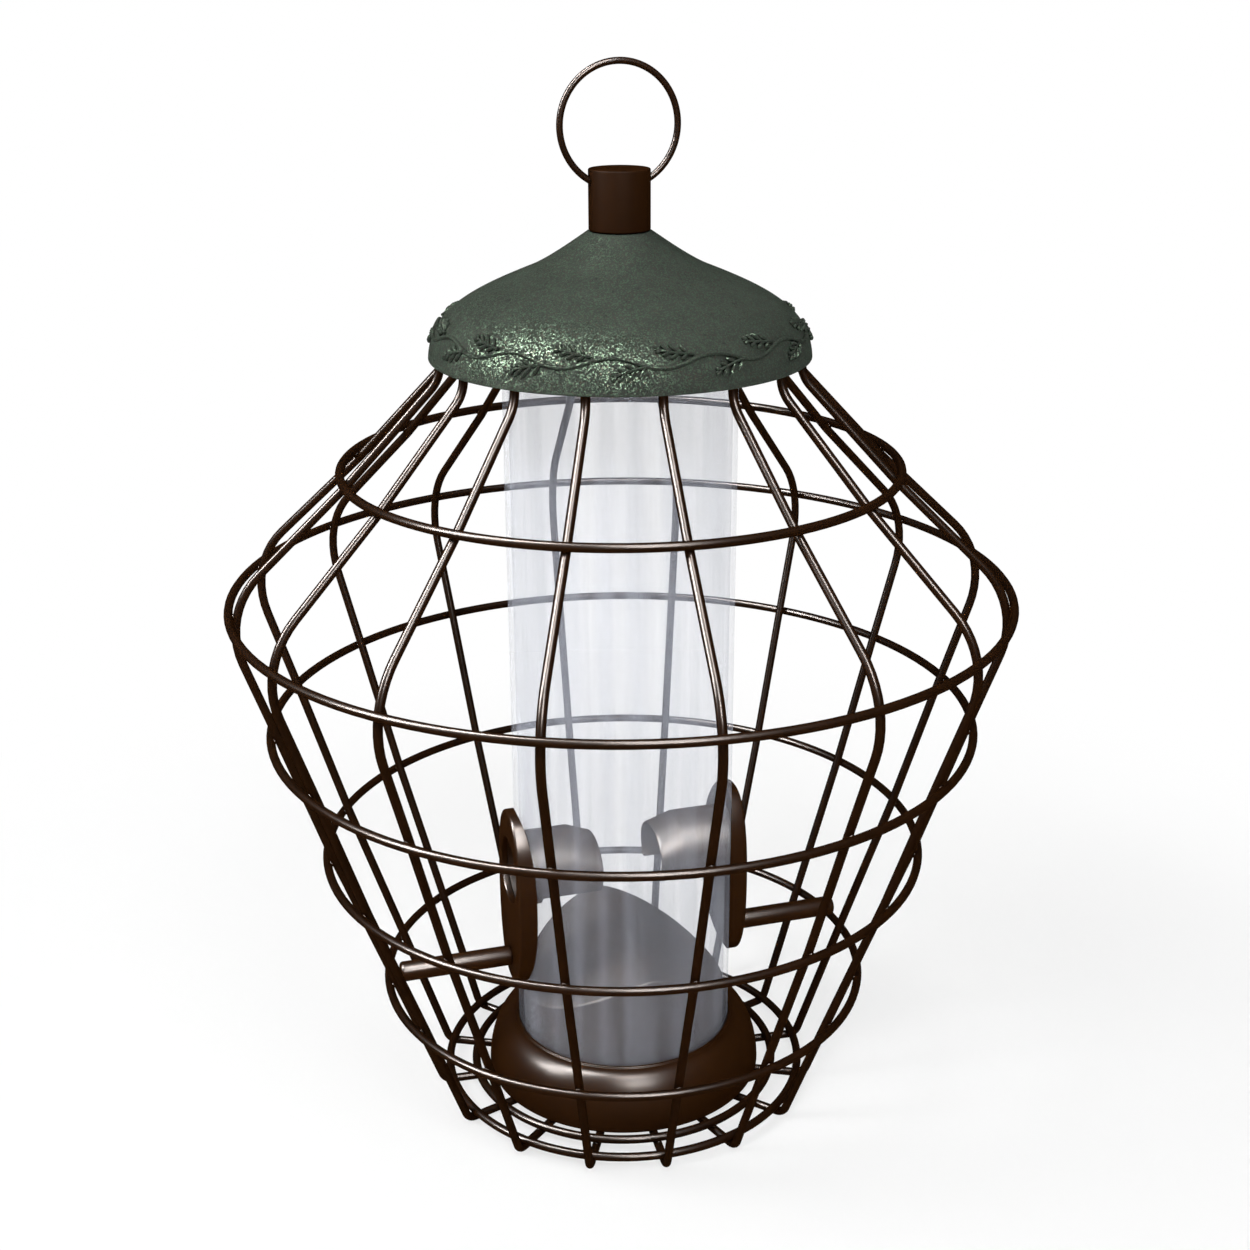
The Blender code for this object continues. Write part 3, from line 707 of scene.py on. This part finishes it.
def portHood():
    low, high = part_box("port_hood_right")
    inner, outer = low[0], high[0]
    knee = inner + port["knee"]
    rOut, rIn = hoodRadius, port["radius"]
    edge = 0.0003
    steps = 10
    stops = [inner + edge + (knee - inner - edge) * step / steps for step in range(steps + 1)]
    corners = [(rOut, outer)] + [(rOut, place) for place in reversed(stops)]
    corners += [(rOut - edge, inner), (rIn + edge, inner)]
    corners += [(rIn, place) for place in stops] + [(rIn, outer)]
    mesh = turned("hood", corners, port["segments"], closed=True, along="X")
    for vertex in mesh.vertices:
        reach = (knee - vertex.co.x) / (knee - inner)
        if vertex.co.z > 0 and reach > 0:
            vertex.co.z *= 1 - (1 - port["endShare"]) * reach
    ringStart = sqrt((tubeRadius - tube["wall"]) ** 2 - rOut ** 2) - port["ringDepth"]
    wide = rOut * 1.5
    under = [(-wide, -wide), (wide, -wide), (wide, -port["skirt"]), (-wide, -port["skirt"])]
    floor = prism("floor", under, inner - wide, ringStart, along="X")
    return moved(carved(mesh, [(floor, (0, 0, 0))]), z=portAxis)


def perchRod():
    low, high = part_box("perch_right")
    radius, tip, start = (high[2] - low[2]) / 2, high[0], low[0]
    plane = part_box("port_flange_right")[1][0] + 0.0003
    spigot = 0.0022
    corners = [(0, tip), (radius, tip), (radius, plane), (spigot, plane), (spigot, start), (0, start)]
    mesh = turned("perch", softened(corners, [0, 0.0011, 0.0003, 0.0002, 0.0003, 0], 5), 48, along="X")
    return moved(mesh, z=(high[2] + low[2]) / 2)


def ports():
    flange, hood, perch = portFlange(), portHood(), perchRod()
    for side, turn in portSides:
        addPiece(f"{side}_port_flange", flange, portFinish, "feeder", [f"port_flange_{side}"], turn)
        addPiece(f"{side}_port_hood", hood, hoodFinish, "feeder", [f"port_hood_{side}"], turn)
        addPiece(f"{side}_perch_rod", perch, portFinish, "feeder", [f"perch_{side}"], turn)


ports()
print("ports made")


# Bridge and stud

bridge = {"armWidth": 0.0090, "plate": 0.0026, "ringWall": 0.0015, "groove": 0.0052, "ringStep": 0.0004,
          "bossFoot": 0.0090, "bossTop": 0.0066, "fillet": 0.0030, "hole": 0.0033, "pitch": 0.0010}


def topBridge():
    low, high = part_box("top_bridge")
    bossTop, ringLow = high[2], low[2]
    plateBottom = ringLow + bridge["groove"]
    plateTop = plateBottom + bridge["plate"]
    armTurn = cage["firstTurn"] + pi / cage["count"]
    half = bridge["armWidth"] / 2
    tip = (high[0] - half * sin(armTurn)) / cos(armTurn)
    cross = []
    for quarter in range(4):
        spin = Matrix.Rotation(quarter * pi / 2, 2)
        cross += [spin @ Vector(point) for point in ((tip, -half), (tip, half), (half, half))]
    cross = softened(cross, [0.002, 0.002, 0.003] * 4, 5, closed=True)
    arms = prism("bridge_moulding", cross, plateBottom, plateTop, 0.0006)
    arms.transform(Matrix.Rotation(armTurn, 4, "Z"))
    gap, wall = 0.0003, bridge["ringWall"]
    grooveOut, grooveIn = tubeRadius + gap, tubeRadius - tube["wall"] - gap
    ringTop = plateTop - bridge["ringStep"]
    corners = [(grooveOut + wall, ringTop), (grooveOut + wall, ringLow), (grooveOut, ringLow),
               (grooveOut, plateBottom), (grooveIn, plateBottom), (grooveIn, ringLow), (grooveIn - wall, ringLow),
               (grooveIn - wall, ringTop)]
    ring = turned("ring", softened(corners, 0.0003, 3, closed=True), 160, closed=True)
    bossLow = plateBottom + bridge["ringStep"]
    boss = [(0, bossTop), (bridge["bossTop"], bossTop), (bridge["bossFoot"], plateTop + bridge["fillet"]),
            (bridge["bossFoot"] + bridge["fillet"], plateTop), (bridge["bossFoot"] + bridge["fillet"], bossLow),
            (0, bossLow)]
    boss = turned("boss", softened(boss, [0, 0.0006, 0.004, 0, 0, 0], 6), 96)
    joined = carved(arms, [(ring, (0, 0, 0)), (boss, (0, 0, 0))], "UNION")
    hole = turned("hole", [(0, bossTop * 2), (bridge["hole"], bossTop * 2), (bridge["hole"], bossTop - 0.0155),
                           (0, bossTop - 0.0155)], 48)
    addPiece("bridge_moulding", carved(joined, [(hole, (0, 0, 0))]), baseFinish, "feeder",
             ["top_bridge"])


def bridgeStud():
    radius, low, high = nodeSpan("bridge_stud")
    core = radius * 0.84
    corners = [(0, high), (core * 0.75, high), (core, high - 0.0006), (core, low), (0, low)]
    bm = bmesh.new()
    bm.from_mesh(turned("threaded_stud", softened(corners, 0.0002, 3), 48))
    addThread(bm, core, radius, low + 0.0008, high - 0.0008, bridge["pitch"])
    addPiece("threaded_stud", finished(bm, "threaded_stud"), steelFinish, "feeder", ["bridge_stud"])


topBridge()
bridgeStud()


# Lid

lid = {"wall": 0.0009, "ledge": 0.0102, "holeRadius": 0.0059, "segments": 240,
       "dome": ((1, 0), (0.986, 0.332), (0.838, 0.473), (0.483, 0.700)),  # shares of the rim's radius and the height
       "hollow": ((0.483, 0.700), (0.367, 0.774), (0.205, 0.962))}
lidRadius, lidRim, lidTop = nodeSpan("lid")


def lidProfile():
    # the outside from the rim up to the collar's seat, as radius and height
    def at(share):
        return Vector((lidRadius * share[0], lidRim + (lidTop - lidRim) * share[1], 0))

    dome = interpolate_bezier(*[at(share) for share in lid["dome"]], 44)
    hollow = interpolate_bezier(*[at(share) for share in lid["hollow"]], Vector((lid["ledge"], lidTop, 0)), 24)
    return [Vector((point.x, point.y)) for point in dome + hollow[1:]]


lidOutside = lidProfile()
lidArc = [0.0]
for near, far in zip(lidOutside, lidOutside[1:]):
    lidArc.append(lidArc[-1] + (far - near).length)


def lidNormal(index):
    run = lidOutside[min(index + 1, len(lidOutside) - 1)] - lidOutside[max(index - 1, 0)]
    return Vector((run.y, -run.x)).normalized()


def lidPlace(azimuth, arc, lift):
    # a point on the lid's outside, arc metres up from the rim, raised by lift; also the way the skin faces there
    index = max(step for step, length in enumerate(lidArc[:-1]) if length <= max(arc, 0))
    share = (arc - lidArc[index]) / (lidArc[index + 1] - lidArc[index])
    flat = lidOutside[index].lerp(lidOutside[index + 1], share)
    facing = lidNormal(index).lerp(lidNormal(index + 1), share)
    flat += facing * lift
    spin = Matrix.Rotation(azimuth, 3, "Z")
    return spin @ Vector((flat.x, 0, flat.y)), spin @ Vector((facing.x, 0, facing.y))


def lidShell():
    wall, hole = lid["wall"], lid["holeRadius"]
    inside = [point - lidNormal(index) * wall for index, point in enumerate(lidOutside)]
    inside[0] = Vector((lidRadius - wall, lidRim))
    inside[-1] = Vector((lidOutside[-1].x, lidTop - wall))
    corners = [(hole, lidTop)] + list(reversed(lidOutside)) + inside + [(hole, lidTop - wall)]
    soft = [0.0002] + [0] * (len(lidOutside) - 1) + [0.0003, 0.0003] + [0] * (len(inside) - 1) + [0.0002]
    mesh = turned("lid_shell", softened(corners, soft, 4, closed=True), lid["segments"], closed=True)
    addPiece("lid_shell", mesh, lidFinish, "lid", ["lid"])


vine = {
    "periods": 12,
    "frontAzimuth": radians(-106.4),  # the side that the photograph sees from
    "crest": radians(-2.4),  # a crest of the vine, from that front
    "middleArc": 0.0096,
    "swing": 0.0017,
    "width": 0.00064,
    "tall": 1.35,
    "leaves": {  # from a crest: where each leaf leaves the vine and where its tip is, as turn in degrees and arc
        "low": ((11.1, 0.0087), (-0.6, 0.0054), -1), "high": ((-6.0, 0.0116), (-17.9, 0.0140), 1)},
    "fingers": 4,
    "fingerLength": 0.0032,
    "fingerWidth": 0.00050,
}


def vineArc(turn):
    return vine["middleArc"] + vine["swing"] * cos(vine["periods"] * (turn - vine["crest"]))


def surfaceRun(bm, route, widths, tall, sink=0.35):
    # a raised rib on the lid along a route of (azimuth from the front, arc)
    points, ups = [], []
    for (turn, arc), width in zip(route, widths):
        point, facing = lidPlace(vine["frontAzimuth"] + turn, arc, width * tall * (1 - sink) - width * 0.3)
        points.append(point)
        ups.append(facing)
    sweep(bm, points, widths, ups, 8, tall)


def addLeaf(bm, crest, foot, tip, outer):
    # a midrib with a row of fingers down each side, all pointing on towards the tip
    footTurn, tipTurn = crest + radians(foot[0]), crest + radians(tip[0])
    reach = lidRadius * 0.97
    axis = Vector(((tipTurn - footTurn) * reach, tip[1] - foot[1]))
    length = axis.length
    along = axis.normalized()
    side = Vector((-along.y, along.x)) * (1 if along.x > 0 else -1)  # towards the collar

    def at(flat):
        return footTurn + flat.x / reach, foot[1] + flat.y

    bow = side * outer * -0.0004
    rib = [along * length * share + bow * sin(pi * share) for share in (0, 0.2, 0.4, 0.6, 0.8, 0.97)]
    width = vine["fingerWidth"]
    surfaceRun(bm, [at(point) for point in rib], [width * 1.1, width, width, width, width * 0.9, width * 0.35], 1.4)
    for index in range(vine["fingers"]):
        share = 0.16 + 0.66 * index / (vine["fingers"] - 1)
        start = along * length * share + bow * sin(pi * share)
        for hand in (1, -1):
            size = vine["fingerLength"] * (1.0 if hand == outer else 0.72) * (0.78 + 0.5 * sin(pi * (share + 0.1)) ** 2
                                                                               - 0.28 * share)
            lean = radians(58 - 26 * share)
            way = along * cos(lean) + side * hand * sin(lean)
            curl = along * size * 0.18
            steps = (0.0, 0.25, 0.5, 0.75, 0.92, 1.0)
            route = [at(start + way * size * step + curl * step * step) for step in steps]
            widths = [width * 0.55, width * 0.85, width * 1.1, width * 1.1, width * 0.8, width * 0.3]
            surfaceRun(bm, route, widths, 1.5)


def lidVine():
    bm = bmesh.new()
    count = vine["periods"] * 20
    turns = [2 * pi * step / count for step in range(count)]
    points, ups = [], []
    for turn in turns:
        point, facing = lidPlace(vine["frontAzimuth"] + turn, vineArc(turn), vine["width"] * 0.25)
        points.append(point)
        ups.append(facing)
    sweep(bm, points, [vine["width"]] * count, ups, 10, vine["tall"], closed=True)
    for index in range(vine["periods"]):
        crest = vine["crest"] + 2 * pi * index / vine["periods"]
        for foot, tip, outer in vine["leaves"].values():
            addLeaf(bm, crest, foot, tip, outer)
    addPiece("lid_vine_border", finished(bm, "lid_vine_border", 60), lidFinish, "lid")


lidShell()
lidVine()
print("lid made")


# Collar and hanging ring

collar = {"edge": 0.0005, "neck": 0.0056, "bore": 0.0033, "wall": 0.0014, "topWall": 0.0010, "solid": 0.0098,
          "sideHole": 0.0020}
ring = {"wireRadius": 0.00105, "segments": 144}
collarRadius, collarLow, collarTop = nodeSpan("hanger_collar")
ringPivot = next(joint["pos_m"][2] for joint in frame["joints"] if joint["name"] == "ring_swing")


def hangerCollar():
    seat = lidTop + 0.0003
    cavity = collarRadius - collar["wall"]
    ceiling = collarTop - collar["topWall"]
    solid = lidTop + collar["solid"]
    corners = [(0, collarTop), (collarRadius, collarTop), (collarRadius, seat), (collar["neck"], seat),
               (collar["neck"], collarLow), (collar["bore"], collarLow), (collar["bore"], solid), (cavity, solid),
               (cavity, ceiling), (0, ceiling)]
    soft = [0, collar["edge"], collar["edge"], 0.0003, 0.0003, 0.0003, 0.0003, 0, 0, 0]
    mesh = turned("collar_cap", softened(corners, soft, 5), 128)
    bore = portTool(collar["sideHole"], -collarRadius * 2, collarRadius * 2, 32)
    addPiece("collar_cap", carved(mesh, [(bore, (0, 0, ringPivot))]), collarFinish, "collar",
             ["hanger_collar"])


def retainerRing():
    radius, low, high = nodeSpan("collar_retainer")
    inner = lid["holeRadius"]
    outline = softened([(radius, high), (radius, low), (inner, low), (inner, high)], 0.0002, 3, closed=True)
    addPiece("retainer_washer", turned("retainer_washer", outline, 64, closed=True), steelFinish, "collar",
             ["collar_retainer"])


def hangingRing():
    low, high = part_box("hanging_ring")
    wire = ring["wireRadius"]
    radius = (high[2] - low[2]) / 2 - wire
    middle = (high[2] + low[2]) / 2
    count = ring["segments"]
    angles = [2 * pi * step / count for step in range(count)]
    points = [Vector((radius * sin(angle), 0, middle - radius * cos(angle))) for angle in angles]
    bm = bmesh.new()
    sweep(bm, points, [wire] * count, [Vector((0, 1, 0))] * count, 16, closed=True)
    addPiece("hanging_ring_wire", finished(bm, "hanging_ring_wire"), wireFinish, "hanger",
             ["hanging_ring"])


hangerCollar()
retainerRing()
hangingRing()
print("collar and ring made")


# Studio

studio = {
    "floorSize": 6.0,
    "floorShadow": 0.30,  # share of the floor's light that the object can shade
    "shadowReach": (0.16, 0.42),  # from the tube's axis, over which that share fades out
    "skyLight": 0.38,
    "lamps": {  # width, height, watts, place as turn from the camera's side, degrees up, distance; last, light for all
        "left_key": (0.34, 0.34, 10.0, -66, 48, 1.3, True),
        "front_key": (0.34, 0.34, 7.5, 14, 50, 1.3, True),
        "left_shine": (0.40, 1.40, 4100.0, -75, 48, 1.3, False),  # these two are met by glossy rays alone
        "front_shine": (0.44, 1.40, 1900.0, 14, 50, 1.3, False)},
}
photoCamera = {"distance": 0.5641, "height": 0.3812, "azimuth": radians(-106.4), "pitch": radians(20.411),
               "roll": radians(-0.238), "aim": radians(0.118), "lens": 51.471}


def seenDirectly(nodes, links):  # 1 for the rays that should meet a plain white studio
    path = nodes.new("ShaderNodeLightPath")
    total = path.outputs["Is Camera Ray"]
    for name in ("Is Glossy Ray", "Is Transmission Ray"):
        add = nodes.new("ShaderNodeMath")
        add.operation = "MAXIMUM"
        links.new(total, add.inputs[0])
        links.new(path.outputs[name], add.inputs[1])
        total = add.outputs[0]
    return total


def studioFloor():
    bm = bmesh.new()
    bmesh.ops.create_grid(bm, x_segments=4, y_segments=4, size=studio["floorSize"] / 2)
    floor = bpy.data.objects.new("studio_floor", finished(bm, "studio_floor"))
    floor.location.z = -0.0002
    scene.collection.objects.link(floor)
    material = bpy.data.materials.new("studio_floor")
    material.use_nodes = True
    nodes, links = material.node_tree.nodes, material.node_tree.links
    nodes.clear()
    diffuse = nodes.new("ShaderNodeBsdfDiffuse")
    diffuse.inputs["Color"].default_value = (0.95, 0.95, 0.95, 1)
    white = nodes.new("ShaderNodeEmission")
    mix = nodes.new("ShaderNodeMixShader")
    place = nodes.new("ShaderNodeTexCoord")
    away = nodes.new("ShaderNodeVectorMath")
    away.operation = "LENGTH"
    links.new(place.outputs["Object"], away.inputs[0])
    fade = nodes.new("ShaderNodeMapRange")
    fade.interpolation_type = "SMOOTHSTEP"
    fade.inputs["From Min"].default_value, fade.inputs["From Max"].default_value = studio["shadowReach"]
    fade.inputs["To Min"].default_value = 1 - studio["floorShadow"]
    fade.inputs["To Max"].default_value = 1
    links.new(away.outputs["Value"], fade.inputs["Value"])
    factor = nodes.new("ShaderNodeMath")
    factor.operation = "MULTIPLY"
    links.new(seenDirectly(nodes, links), factor.inputs[0])
    links.new(fade.outputs[0], factor.inputs[1])
    links.new(factor.outputs[0], mix.inputs[0])
    links.new(diffuse.outputs[0], mix.inputs[1])
    links.new(white.outputs[0], mix.inputs[2])
    output = nodes.new("ShaderNodeOutputMaterial")
    links.new(mix.outputs[0], output.inputs[0])
    floor.data.materials.append(material)


def studioSky():
    world = bpy.data.worlds.new("studio")
    scene.world = world
    world.use_nodes = True
    nodes, links = world.node_tree.nodes, world.node_tree.links
    background = nodes["Background"]
    background.inputs["Color"].default_value = (1, 1, 1, 1)
    strength = nodes.new("ShaderNodeMapRange")
    strength.inputs["To Min"].default_value = studio["skyLight"]
    strength.inputs["To Max"].default_value = 1.0
    links.new(seenDirectly(nodes, links), strength.inputs["Value"])
    links.new(strength.outputs[0], background.inputs["Strength"])


def studioLamps():
    target = Vector((0, 0, 0.17))
    bare = bpy.data.collections.new("plated_pieces")  # bright metal needs no added shine
    for piece in scene.objects:
        if piece.data and steelFinish.material.name in getattr(piece.data, "materials", {}):
            bare.objects.link(piece)
    for item in bare.collection_objects:
        item.light_linking.link_state = "EXCLUDE"
    for name, (width, height, watts, turn, up, distance, isForAll) in studio["lamps"].items():
        data = bpy.data.lights.new(name, "AREA")
        data.shape = "RECTANGLE"
        data.size, data.size_y = width, height
        data.energy = watts
        lamp = bpy.data.objects.new(name, data)
        scene.collection.objects.link(lamp)
        if not isForAll:
            data.color = (1.0, 0.97, 0.94)
            lamp.visible_diffuse = lamp.visible_transmission = False
            lamp.light_linking.receiver_collection = bare
        azimuth, up = photoCamera["azimuth"] + radians(turn), radians(up)
        way = Vector((cos(azimuth) * cos(up), sin(azimuth) * cos(up), sin(up)))
        lamp.location = target + way * distance
        lamp.rotation_euler = way.to_track_quat("Z", "Y").to_euler()


def makeCamera():
    data = bpy.data.cameras.new("photo_camera")
    data.lens = photoCamera["lens"]
    data.sensor_width = 36.0
    data.clip_start, data.clip_end = 0.02, 20
    camera = bpy.data.objects.new("photo_camera", data)
    scene.collection.objects.link(camera)
    azimuth = photoCamera["azimuth"]
    camera.location = (photoCamera["distance"] * cos(azimuth), photoCamera["distance"] * sin(azimuth),
                       photoCamera["height"])
    turn = Matrix.Rotation(azimuth + pi / 2 - photoCamera["aim"], 3, "Z")
    tilt = Matrix.Rotation(pi / 2 - photoCamera["pitch"], 3, "X")
    roll = Matrix.Rotation(photoCamera["roll"], 3, "Z")
    camera.rotation_euler = (turn @ tilt @ roll).to_euler()
    scene.camera = camera


studioFloor()
studioSky()
studioLamps()
makeCamera()
print("studio made")
